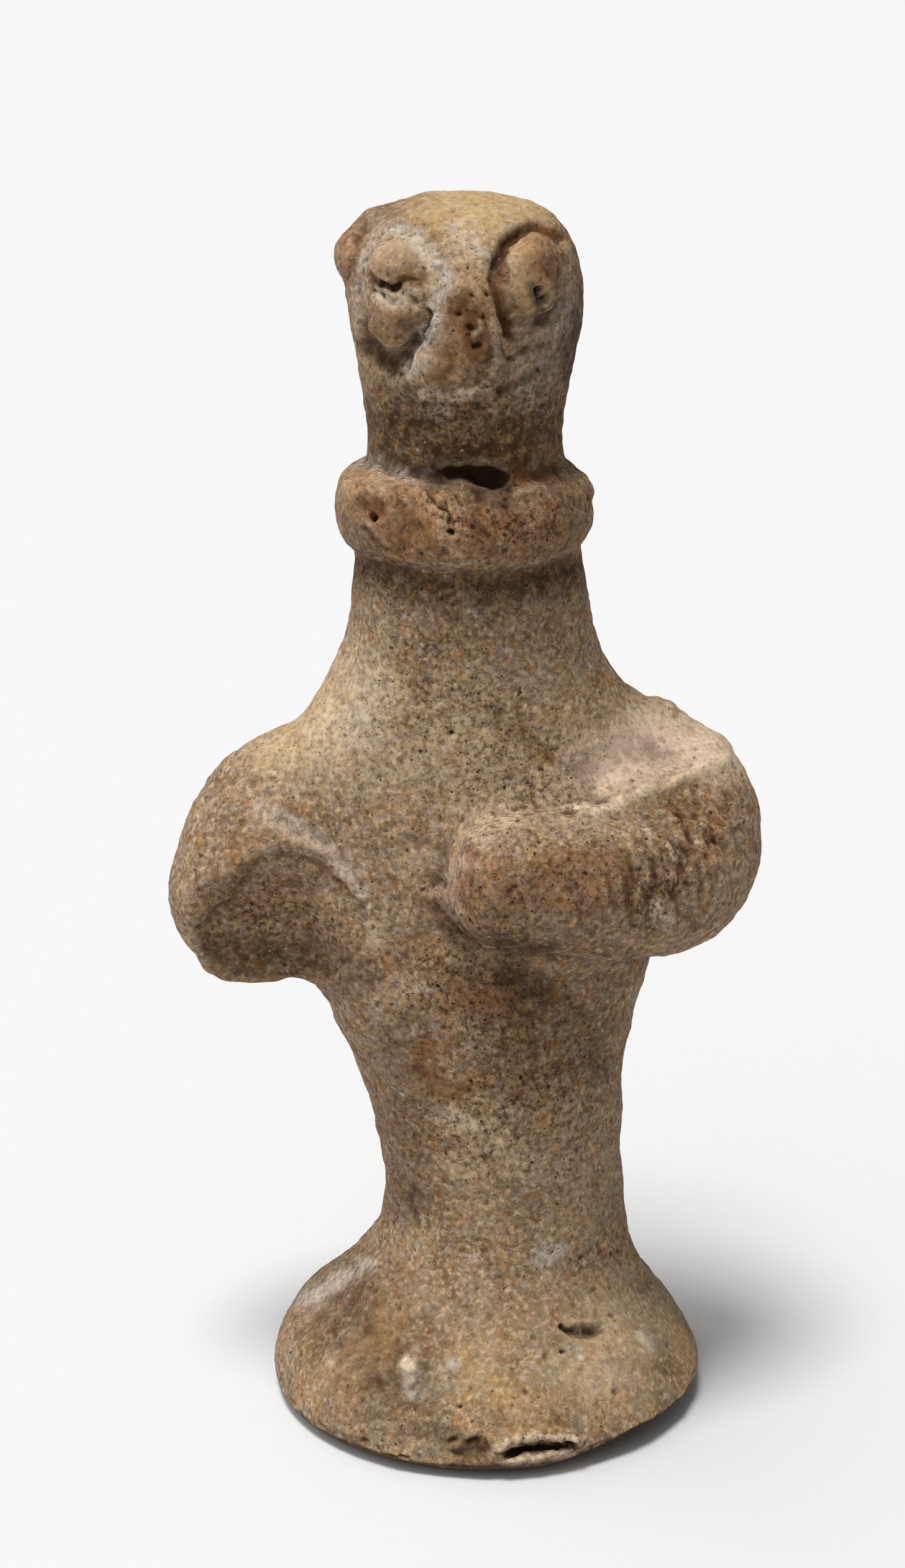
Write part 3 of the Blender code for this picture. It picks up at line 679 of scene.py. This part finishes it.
# The clay's mottling: the zone that it lies in (none for all over), the size of its patches, how much longer
# they are than broad, where in the pattern they start and are full, the most they cover, and their colour
MOTTLES = (
    ("", 9.0, 1.0, 0.40, 0.66, 0.60, "#785d3b"),
    ("", 5.0, 1.0, 0.46, 0.66, 0.65, "#a08c73"),
    ("", 4.4, 1.0, 0.48, 0.66, 0.65, "#8c6540"),
    ("", 4.0, 1.0, 0.50, 0.68, 0.60, "#9b8150"),
    ("", 1.5, 3.5, 0.48, 0.72, 0.65, "#664828"),
    ("", 2.4, 1.0, 0.50, 0.70, 0.65, "#5a3f24"),
    ("", 1.6, 1.0, 0.50, 0.70, 0.55, "#a6927f"),
    ("", 1.1, 1.0, 0.52, 0.66, 0.55, "#8f8583"),
    ("", 1.5, 1.0, 0.54, 0.67, 0.60, "#a26c36"),
    ("foot", 6.0, 1.0, 0.44, 0.60, 0.75, "#a8855a"),
    ("foot", 4.2, 1.0, 0.50, 0.62, 0.70, "#837c68"),
    ("foot", 5.2, 1.0, 0.52, 0.64, 0.60, "#705636"),
    ("", 0.55, 1.0, 0.48, 0.74, 0.85, "#cdb491"),
)
# The lightest and the darkest clay, also used for painted highlights and painted shade: the tone at which
# each is full, how well it covers, and its colour. Clouds of the size below make the tone weaker and
# stronger, so that no light or dark part has a drawn edge.
TONE_AND_PAINTED_LIGHT_COLOURS = (
    (1.7, 0.95, "#d2bc99"),
    (-1.4, 0.97, "#321b08"),
)
TONE_CLOUDS = 1.6
# How strongly the elbow's wrinkles get painted shade in their troughs and painted light on their crests, how
# strongly the foot's underside up to its height gets painted shade and dirt, and the back's clouds of tone
WRINKLE_SHADE = 1.6
UNDERSIDE_SHADE = 1.7
UNDERSIDE_HEIGHT = 4.5
BACK_CLOUDS = ((0.8, 8.0, 13),)
# What lies over the mottled clay in its own places, given as the mottling is
STAINS_AND_SHADE = (
    ("warm_specks", 0.8, 1.0, 0.50, 0.62, 0.90, "#9c7548"),
    ("ochre", 2.4, 1.0, 0.30, 0.65, 0.70, "#b08c55"),
    ("russet", 1.8, 1.0, 0.25, 0.70, 0.80, "#86552c"),
    ("pink", 2.0, 1.0, 0.20, 0.65, 0.80, "#d0b5a1"),
    ("lime", 1.0, 1.0, 0.36, 0.60, 0.90, "#b9afa3"),
    ("cream", 9.0, 1.0, -1.00, 0.00, 0.90, "#d0bc9f"),
    # Black earth and painted shade in the deepest gaps, holes and slits
    ("black_earth_and_painted_shade", 0.7, 1.0, 0.20, 0.55, 0.95, "#160b03"),
)
# Dirt and painted shade in every hollow, bare paler clay on worn edges, and more dirt and painted shade in
# the
# broad hollows: the attribute that it follows, the depths at which it starts and is full, how well it covers,
# and its colour
DIRT_SHADE_AND_WEAR = (
    ("hollow", 0.02, 0.24, 0.75, "#331d09"),
    ("hollow", -0.02, -0.20, 0.28, "#b9a080"),
    ("broad_hollow", 0.20, 1.20, 0.55, "#331d09"),
)
# Each pattern of patches is moved aside by this much from the one before, in metres, and long patches lean
PATCH_STEP = (0.013, 0.009, 0.017)
STREAK_LEAN = 0.6
# The fine dark grain all over the clay: its size, how deep it lies, and its colour. It is drawn a little
# coarser than the real clay's finest grain, which is too fine to show.
GRAIN_SIZE = 0.6
GRAIN_DEPTH = 0.15
GRAIN_COLOUR = "#3a220a"
# Grit and pits: how far apart, how large, the share of places with one, how well it covers, colour, and rise
GRIT = (
    (0.62, 0.30, 0.50, 0.85, "#261404", -0.08),
    (1.50, 0.60, 0.32, 0.80, "#2c1806", -0.12),
    (0.85, 0.30, 0.32, 0.55, "#b7a083", 0.03),
    (2.60, 0.60, 0.22, 0.60, "#bfae95", 0.06),
)
# The radius of the smallest grain beside its row's size, and how much that of the largest is over it
SMALLEST_GRAIN = 0.2
LARGER_GRAINS = 0.3
# Grit is bent out of its round shape by this much over this size, and its patterns are moved aside too
GRIT_BEND = 0.5
GRIT_BEND_SIZE = 0.4
GRIT_STEP = (0.021, 0.013, 0.017)


def linear(code):
    """A colour from its hex code, as light."""
    shares = [int(code[i : i + 2], 16) / 255 for i in (1, 3, 5)]
    return (*(s / 12.92 if s <= 0.04045 else ((s + 0.055) / 1.055) ** 2.4 for s in shares), 1.0)


def points_of(mesh):
    """The mesh's points in millimetres, and the way that the clay faces at each."""
    points = np.empty(len(mesh.vertices) * 3, np.float32)
    facing = np.empty(len(mesh.vertices) * 3, np.float32)
    mesh.vertices.foreach_get("co", points)
    mesh.vertex_normals.foreach_get("vector", facing)
    return points.reshape(-1, 3).astype(float) / MM, facing.reshape(-1, 3).astype(float)


def put_points(mesh, points):
    """Moves the mesh's points to these, given in millimetres."""
    mesh.vertices.foreach_set("co", (points * MM).astype(np.float32).ravel())
    mesh.update()


def on_sheet(points):
    """Where the eye sees each point on the sheet."""
    share = EYE.y / (EYE.y - points[:, 1])
    across = EYE.x + share * (points[:, 0] - EYE.x)
    up = EYE.z + share * (points[:, 2] - EYE.z)
    return np.stack([across, up], 1)


def ramp(values, start, breadth):
    """0 up to the start, rising evenly to 1 over the breadth."""
    return np.clip((values - start) / breadth, 0, 1)


def lumps(points, size, seed):
    """Smooth ups and downs of about this size, from -1 to 1. Each seed reads its own part of the pattern."""
    shift = np.array([17.3, 5.1, 9.7]) * seed
    return np.array([noise.noise(Vector(p)) for p in points / size + shift])


def lumps_of(points, rows, later=0):
    """The sum of these rows of lumps, with their seeds moved on."""
    return sum(depth * lumps(points, size, seed + later) for depth, size, seed in rows)


def square_gap(places, start, end):
    """The square of each place's distance from the line between two places."""
    start = np.array(start)
    run = np.array(end) - start
    along = np.clip((places - start) @ run / max(run @ run, 1e-9), 0, 1)
    return ((places - start - along[:, None] * run) ** 2).sum(1)


def near(places, spread, line):
    """1 on the line, falling smoothly to 0 at the spread."""
    gap = np.min([square_gap(places, start, end) for start, end in zip(line[:-1], line[1:])], axis=0)
    return np.clip(1 - gap / spread**2, 0, 1) ** 2


def within(places, edge, outline):
    """1 inside the outline, falling smoothly to 0 at it over the breadth of its edge."""
    x, y = places.T
    held = np.zeros(len(places), bool)
    gap = np.full(len(places), np.inf)
    for (x1, y1), (x2, y2) in zip(outline, (*outline[1:], outline[0])):
        gap = np.minimum(gap, square_gap(places, (x1, y1), (x2, y2)))
        if y1 != y2:
            held ^= ((y1 > y) != (y2 > y)) & (x < x1 + (y - y1) * (x2 - x1) / (y2 - y1))
    share = np.clip(np.sqrt(gap) / edge, 0, 1) * held
    return share * share * (3 - 2 * share)


def total(shape, places, *groups):
    """The sum of these groups of forms or patches at each place on the sheet."""
    rows = [row for group in groups for row in group.values()]
    return sum(amount * shape(places, reach, line) for amount, reach, line in rows)


def seen_from_front(points, facing, gone):
    """1 where the clay faces the eye, falling to 0 where it has turned away from it this far."""
    to_eye = np.array(EYE) - points
    to_eye /= np.linalg.norm(to_eye, axis=1)[:, None]
    return ramp((facing * to_eye).sum(1), gone, FADE)


def keep_result(made):
    """The object's modifiers become its mesh."""
    graph = bpy.context.evaluated_depsgraph_get()
    made.data = bpy.data.meshes.new_from_object(made.evaluated_get(graph))
    made.modifiers.clear()


def skin_of(solid):
    """A finer skin over a copy of the solid: its loose faces merged and fused on a fine grid."""
    mesh = bmesh.new()
    mesh.from_mesh(solid.data)
    bmesh.ops.remove_doubles(mesh, verts=mesh.verts, dist=0.001 * MM)
    data = bpy.data.meshes.new("clay_figurine")
    mesh.to_mesh(data)
    mesh.free()
    made = bpy.data.objects.new("clay_figurine", data)
    bpy.context.scene.collection.objects.link(made)
    rounded = made.modifiers.new("rounded faces", "SUBSURF")
    rounded.levels = 1
    rounded.render_levels = 1
    fine = made.modifiers.new("fine skin", "REMESH")
    fine.mode = "VOXEL"
    fine.voxel_size = SKIN_GRID * MM
    smooth = made.modifiers.new("rubbed", "SMOOTH")
    smooth.factor = 0.5
    smooth.iterations = SKIN_PASSES
    keep_result(made)
    return made


def wavering(points, places):
    """The places moved a little, so that a pressed line wavers as a hand does."""
    moved = places.copy()
    for side in (0, 1):
        moved[:, side] += lumps_of(points, WAVER, later=side)
    return moved


def elbow_wrinkles(points, places, seen):
    """Torn, slanting wrinkles and pits over the elbow, where the clay was bent."""
    slanted = points.copy()
    slanted[:, 2] = WRINKLE_FLATNESS * (points[:, 2] + WRINKLE_LEAN * points[:, 0])
    where = near(places, WRINKLE_SPREAD, WRINKLE_LINE) * seen
    torn = lumps(slanted, WRINKLE_SIZE, WRINKLE_SEEDS[0])
    torn -= WRINKLE_TEARING * np.abs(lumps(points, WRINKLE_TEAR_SIZE, WRINKLE_SEEDS[1]))
    return WRINKLE_DEPTH * where * torn


def press(made):
    """Presses every form and mark into the skin, with the clay's own unevenness."""
    points, facing = points_of(made.data)
    seen = seen_from_front(points, facing, FORMS_GONE)
    turning = seen_from_front(points, facing, OUTLINE_GONE)
    places = wavering(points, on_sheet(points))
    above_ground = ramp(points[:, 2], PRESSED_FROM, PRESSED_OVER)
    push = seen * total(near, places, FACE_FORMS, COLLAR_FORMS, BODY_FORMS)
    push += seen * total(within, places, FACE_AREAS, COLLAR_AREAS, BODY_AREAS)
    push += turning * total(near, places, OUTLINE_FORMS)
    push += lumps_of(points, BROAD_LUMPS)
    put_points(made.data, points + facing * (push * above_ground)[:, None])

    # The marks and the fine lumps go into the shaped clay, straight down from its new surface
    points, facing = points_of(made.data)
    push = seen * total(near, places, FACE_MARKS, COLLAR_MARKS, BODY_MARKS)
    push += elbow_wrinkles(points, places, seen)
    push += (1.0 + seen * total(near, places, WEAR)) * lumps_of(points, FINE_LUMPS)
    put_points(made.data, points + facing * (push * above_ground)[:, None])


def press_pits(made, count, smallest, largest, seed):
    """Small pits all over, where grains have fallen out."""
    points, facing = points_of(made.data)
    tree = kdtree.KDTree(len(points))
    for i, point in enumerate(points):
        tree.insert(point, i)
    tree.balance()
    chance = np.random.default_rng(seed)
    for i in chance.choice(len(points), count, replace=False):
        size = chance.uniform(smallest, largest)
        if points[i, 2] < LOWEST_PIT:
            continue
        for _, k, gap in tree.find_range(points[i], size):
            points[k] -= facing[k] * PIT_DEPTH * size * (1 - (gap / size) ** 2) ** 2
    put_points(made.data, points)


def shape_foot(made):
    """Rounds the foot's lower edge, and lifts it off the ground at the front right, where it is warped."""
    points, _ = points_of(made.data)
    x, y, z = points.T
    out = np.hypot(x, y)
    rounded = ramp(out, *ROUNDED_OUT) ** 2 * (1 - ramp(z, 0.0, ROUNDED_HEIGHT))
    warped = ramp(x, *WARPED_RIGHT) * ramp(-y, *WARPED_FRONT) * ramp(out, *WARPED_OUT)
    points[:, 2] += ROUNDED_LIFT * rounded + WARPED_LIFT * warped * (1 - ramp(z, 0.0, WARPED_HEIGHT))
    put_points(made.data, points)


def thin_out(made):
    """Drops points where the clay is plain, and keeps them where it is marked."""
    made.data.calc_loop_triangles()
    fewer = made.modifiers.new("fewer faces", "DECIMATE")
    fewer.ratio = min(1.0, MOST_TRIANGLES / len(made.data.loop_triangles))
    keep_result(made)


def hollowness(mesh, points, facing, passes):
    """How far each point lies below (over 0) or above (under 0) its surroundings, smoothed so many times."""
    ends = np.empty(len(mesh.edges) * 2, np.int32)
    mesh.edges.foreach_get("vertices", ends)
    first, second = ends.reshape(-1, 2).T
    count = np.bincount(first, minlength=len(points)) + np.bincount(second, minlength=len(points))
    smooth = points.copy()
    for _ in range(passes):
        for side in range(3):
            pulled = np.bincount(first, smooth[second, side], len(points))
            pulled += np.bincount(second, smooth[first, side], len(points))
            smooth[:, side] = pulled / count
    return ((smooth - points) * facing).sum(1)


def paint(made):
    """Stores where each colour, dirt and painted light and shade lie, as attributes the clay's material
    reads.
    """
    mesh = made.data
    points, facing = points_of(mesh)
    height = points[:, 2]
    seen = seen_from_front(points, facing, COLOURS_GONE)
    places = wavering(points, on_sheet(points))
    # Among these, the black earth is also painted shade in the deepest gaps and holes
    stains_and_shade = {
        "ochre": OCHRE,
        "russet": RUSSET,
        "lime": LIME,
        "pink": PINK,
        "cream": CREAM,
        "black_earth_and_painted_shade": BLACK_EARTH_AND_PAINTED_SHADE,
    }
    zones = {name: seen * total(near, places, patches) for name, patches in stains_and_shade.items()}

    # The clay's tone with painted light and shade, from the table of tones
    tone_and_painted_light = seen * total(near, places, TONES_AND_PAINTED_LIGHT)
    # Painted shade in the troughs of the elbow's wrinkles and painted light on their crests
    tone_and_painted_light += WRINKLE_SHADE * elbow_wrinkles(points, places, seen)
    # The side that isn't seen has broad light and dark clouds of its own
    tone_and_painted_light += (1 - seen) * lumps_of(points, BACK_CLOUDS)
    # Painted shade and dirt on the foot's underside
    facing_down = np.clip(0.25 - 3.0 * facing[:, 2], 0, 1)
    tone_and_painted_light -= UNDERSIDE_SHADE * facing_down * (height < UNDERSIDE_HEIGHT)
    zones["tone_and_painted_light"] = tone_and_painted_light

    speckled = seen * total(near, places, SPECKS)
    zones["specks"] = np.clip(1.0 + speckled, *FEWEST_AND_MOST_SPECKS)
    zones["warm_specks"] = np.clip(speckled, 0, 1)
    zones["foot"] = 1 - ramp(height, *FOOT_TOP)
    zones["hollow"] = hollowness(mesh, points, facing, passes=6)
    zones["broad_hollow"] = hollowness(mesh, points, facing, passes=60)
    for name, values in zones.items():
        mesh.attributes.new(name, "FLOAT", "POINT").data.foreach_set("value", values.astype(np.float32))


def node(tree, kind, inputs, give=None, **settings):
    """A node with its settings, its inputs set or linked, and the output asked for."""
    made = tree.nodes.new("ShaderNode" + kind)
    for name, value in settings.items():
        setattr(made, name, value)
    for socket, value in inputs.items():
        if isinstance(value, bpy.types.NodeSocket):
            tree.links.new(value, made.inputs[socket])
        else:
            made.inputs[socket].default_value = value
    if give:
        return made.outputs[give]
    return next(out for out in made.outputs if out.enabled)


def lay_patches(tree, place, colour, rows, first):
    """Lays each row's cloudy patches over the colour, each cut from its own part of the pattern."""
    for index, (zone, size, longer, start, full, most, code) in enumerate(rows, first):
        turned = node(
            tree,
            "Mapping",
            {
                "Vector": place,
                "Location": tuple(step * index for step in PATCH_STEP),
                "Rotation": (0.0, STREAK_LEAN, 0.0),
                "Scale": (1.0, 1.0, 1.0 / longer),
            },
        )
        scale = 1 / (size * MM)
        cloud = node(tree, "TexNoise", {"Vector": turned, "Scale": scale, "Detail": 4.0, "Roughness": 0.6})
        share = node(tree, "MapRange", {"Value": cloud, "From Min": start, "From Max": full, "To Max": most})
        if zone:
            held = node(tree, "Attribute", {}, give="Fac", attribute_name=zone)
            share = node(tree, "Math", {0: share, 1: held}, operation="MULTIPLY", use_clamp=True)
        colour = node(tree, "Mix", {0: share, 6: colour, 7: linear(code)}, data_type="RGBA")
    return colour


def lay_light_and_dark(tree, place, colour):
    """Makes the clay lighter or darker where its tone and painted light and shade say so, broken up by
    clouds.
    """
    tone_and_painted_light = node(tree, "Attribute", {}, give="Fac", attribute_name="tone_and_painted_light")
    scale = 1 / (TONE_CLOUDS * MM)
    cloud = node(tree, "TexNoise", {"Vector": place, "Scale": scale, "Detail": 4.0, "Roughness": 0.65})
    spread = {"Value": cloud, "From Min": 0.3, "From Max": 0.7, "To Min": 0.5, "To Max": 1.5}
    uneven = node(tree, "MapRange", spread)
    tone_and_painted_light = node(tree, "Math", {0: tone_and_painted_light, 1: uneven}, operation="MULTIPLY")
    for far, cover, code in TONE_AND_PAINTED_LIGHT_COLOURS:
        share = node(tree, "MapRange", {"Value": tone_and_painted_light, "From Min": 0.0, "From Max": far, "To Max": cover})
        colour = node(tree, "Mix", {0: share, 6: colour, 7: linear(code)}, data_type="RGBA")
    return colour


def lay_dirt_shade_and_wear(tree, colour):
    """Fills the hollows with dirt and painted shade, and bares the worn edges."""
    for zone, start, full, most, code in DIRT_SHADE_AND_WEAR:
        held = node(tree, "Attribute", {}, give="Fac", attribute_name=zone)
        share = node(tree, "MapRange", {"Value": held, "From Min": start, "From Max": full, "To Max": most})
        colour = node(tree, "Mix", {0: share, 6: colour, 7: linear(code)}, data_type="RGBA")
    return colour


def lay_grain_and_grit(tree, place, colour):
    """Lays the fine dark grain, then grit and pits of uneven shape. Gives their relief in millimetres too."""
    specks = node(tree, "Attribute", {}, give="Fac", attribute_name="specks")
    scale = 1 / (GRAIN_SIZE * MM)
    cloud = node(tree, "TexNoise", {"Vector": place, "Scale": scale, "Detail": 5.0, "Roughness": 0.75})
    share = node(tree, "MapRange", {"Value": cloud, "From Min": 0.43, "From Max": 0.70, "To Max": 0.85})
    share = node(tree, "Math", {0: share, 1: specks}, operation="MULTIPLY", use_clamp=True)
    colour = node(tree, "Mix", {0: share, 6: colour, 7: linear(GRAIN_COLOUR)}, data_type="RGBA")
    height = node(tree, "Math", {0: cloud, 1: -GRAIN_DEPTH}, operation="MULTIPLY")

    scale = 1 / (GRIT_BEND_SIZE * MM)
    bend = node(tree, "TexNoise", {"Vector": place, "Scale": scale, "Detail": 2.0}, give="Color")
    bent = (GRIT_BEND * MM, GRIT_BEND * MM, GRIT_BEND * MM)
    uneven = node(tree, "VectorMath", {0: bend, 1: bent, 2: place}, operation="MULTIPLY_ADD")
    for index, (apart, size, kept, most, code, rise) in enumerate(GRIT):
        aside = tuple(step * index for step in GRIT_STEP)
        moved = node(tree, "VectorMath", {0: uneven, 1: aside}, operation="ADD")
        gap = node(tree, "TexVoronoi", {"Vector": moved, "Scale": 1 / (apart * MM)}, give="Distance")

        # Each place's own chance decides whether it has a grain, and how large the grain is
        chance = node(tree, "SeparateColor", {0: gap.node.outputs["Color"]})
        here = node(tree, "Math", {0: chance, 1: kept}, operation="LESS_THAN")
        smallest = SMALLEST_GRAIN * size / apart
        larger = LARGER_GRAINS * size / apart
        sizes = {0: chance.node.outputs[1], 1: larger, 2: smallest}
        radius = node(tree, "Math", sizes, operation="MULTIPLY_ADD")
        out = node(tree, "Math", {0: gap, 1: radius}, operation="DIVIDE")
        soft_edge = {"Value": out, "From Min": 0.4, "From Max": 1.1, "To Min": 1.0, "To Max": 0.0}
        spot = node(tree, "MapRange", soft_edge)
        spot = node(tree, "Math", {0: spot, 1: here}, operation="MULTIPLY")
        share = node(tree, "Math", {0: spot, 1: most}, operation="MULTIPLY")
        share = node(tree, "Math", {0: share, 1: specks}, operation="MULTIPLY", use_clamp=True)
        colour = node(tree, "Mix", {0: share, 6: colour, 7: linear(code)}, data_type="RGBA")
        height = node(tree, "Math", {0: spot, 1: rise, 2: height}, operation="MULTIPLY_ADD")
    return colour, height


def terracotta():
    """Low-fired terracotta, rubbed by hand and worn in the ground: fully matt, tan, mottled and gritty."""
    material = bpy.data.materials.new("fired_terracotta")
    material.use_nodes = True
    tree = material.node_tree
    shader = tree.nodes["Principled BSDF"]
    place = node(tree, "TexCoord", {}, give="Object")
    colour = lay_patches(tree, place, linear(CLAY_COLOUR), MOTTLES, 0)
    colour = lay_light_and_dark(tree, place, colour)
    colour = lay_patches(tree, place, colour, STAINS_AND_SHADE, len(MOTTLES))
    colour = lay_dirt_shade_and_wear(tree, colour)
    colour, height = lay_grain_and_grit(tree, place, colour)
    relief = node(tree, "Bump", {"Height": height, "Distance": MM, "Strength": 1.0})
    tree.links.new(colour, shader.inputs["Base Color"])
    tree.links.new(relief, shader.inputs["Normal"])
    shader.inputs["Roughness"].default_value = 0.9
    shader.inputs["Specular IOR Level"].default_value = 0.25
    return material


def white_paper():
    """Matt white paper, which takes soft shadows and has no shine."""
    material = bpy.data.materials.new("matt_white_paper")
    material.use_nodes = True
    shader = material.node_tree.nodes["Principled BSDF"]
    shader.inputs["Base Color"].default_value = linear(FLOOR_COLOUR)
    shader.inputs["Roughness"].default_value = 0.9
    return material


def studio():
    """A paper floor under a very broad soft light from the left, a smaller one overhead, and a weak fill."""
    mesh = bmesh.new()
    bmesh.ops.create_grid(mesh, x_segments=1, y_segments=1, size=FLOOR_HALF_METRES)
    data = bpy.data.meshes.new("floor")
    mesh.to_mesh(data)
    mesh.free()
    floor = bpy.data.objects.new("floor", data)
    bpy.context.scene.collection.objects.link(floor)
    floor.data.materials.append(white_paper())

    for name, (side, height, breadth, power) in LIGHTS.items():
        lamp = bpy.data.lights.new(name, "SUN")
        lamp.angle = math.radians(breadth)
        lamp.energy = power
        light = bpy.data.objects.new(name, lamp)
        light.rotation_euler = (math.radians(90.0 - height), 0.0, math.radians(side))
        bpy.context.scene.collection.objects.link(light)

    world = bpy.data.worlds.new("studio")
    world.use_nodes = True
    world.node_tree.nodes["Background"].inputs["Color"].default_value = (1.0, 1.0, 1.0, 1.0)
    world.node_tree.nodes["Background"].inputs["Strength"].default_value = FILL_LIGHT
    bpy.context.scene.world = world


def camera():
    """The eye, with a long lens, a little to the side of the picture's middle."""
    lens = bpy.data.cameras.new("camera")
    lens.sensor_width = 36.0
    lens.lens = LENS_LENGTH
    lens.shift_x = LENS_SHIFT
    made = bpy.data.objects.new("camera", lens)
    made.location = EYE * MM
    made.rotation_euler = (AIM - EYE).to_track_quat("-Z", "Y").to_euler()
    bpy.context.scene.collection.objects.link(made)
    bpy.context.scene.camera = made


camera()
studio()
bpy.context.scene.view_settings.view_transform = "Standard"

figurine = skin_of(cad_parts["figurine"])
press(figurine)
press_pits(figurine, count=420, smallest=0.35, largest=0.65, seed=7)
shape_foot(figurine)
thin_out(figurine)
paint(figurine)
figurine.data.materials.clear()
figurine.data.materials.append(terracotta())
figurine.data.shade_smooth()
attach(figurine, "root")
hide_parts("figurine")
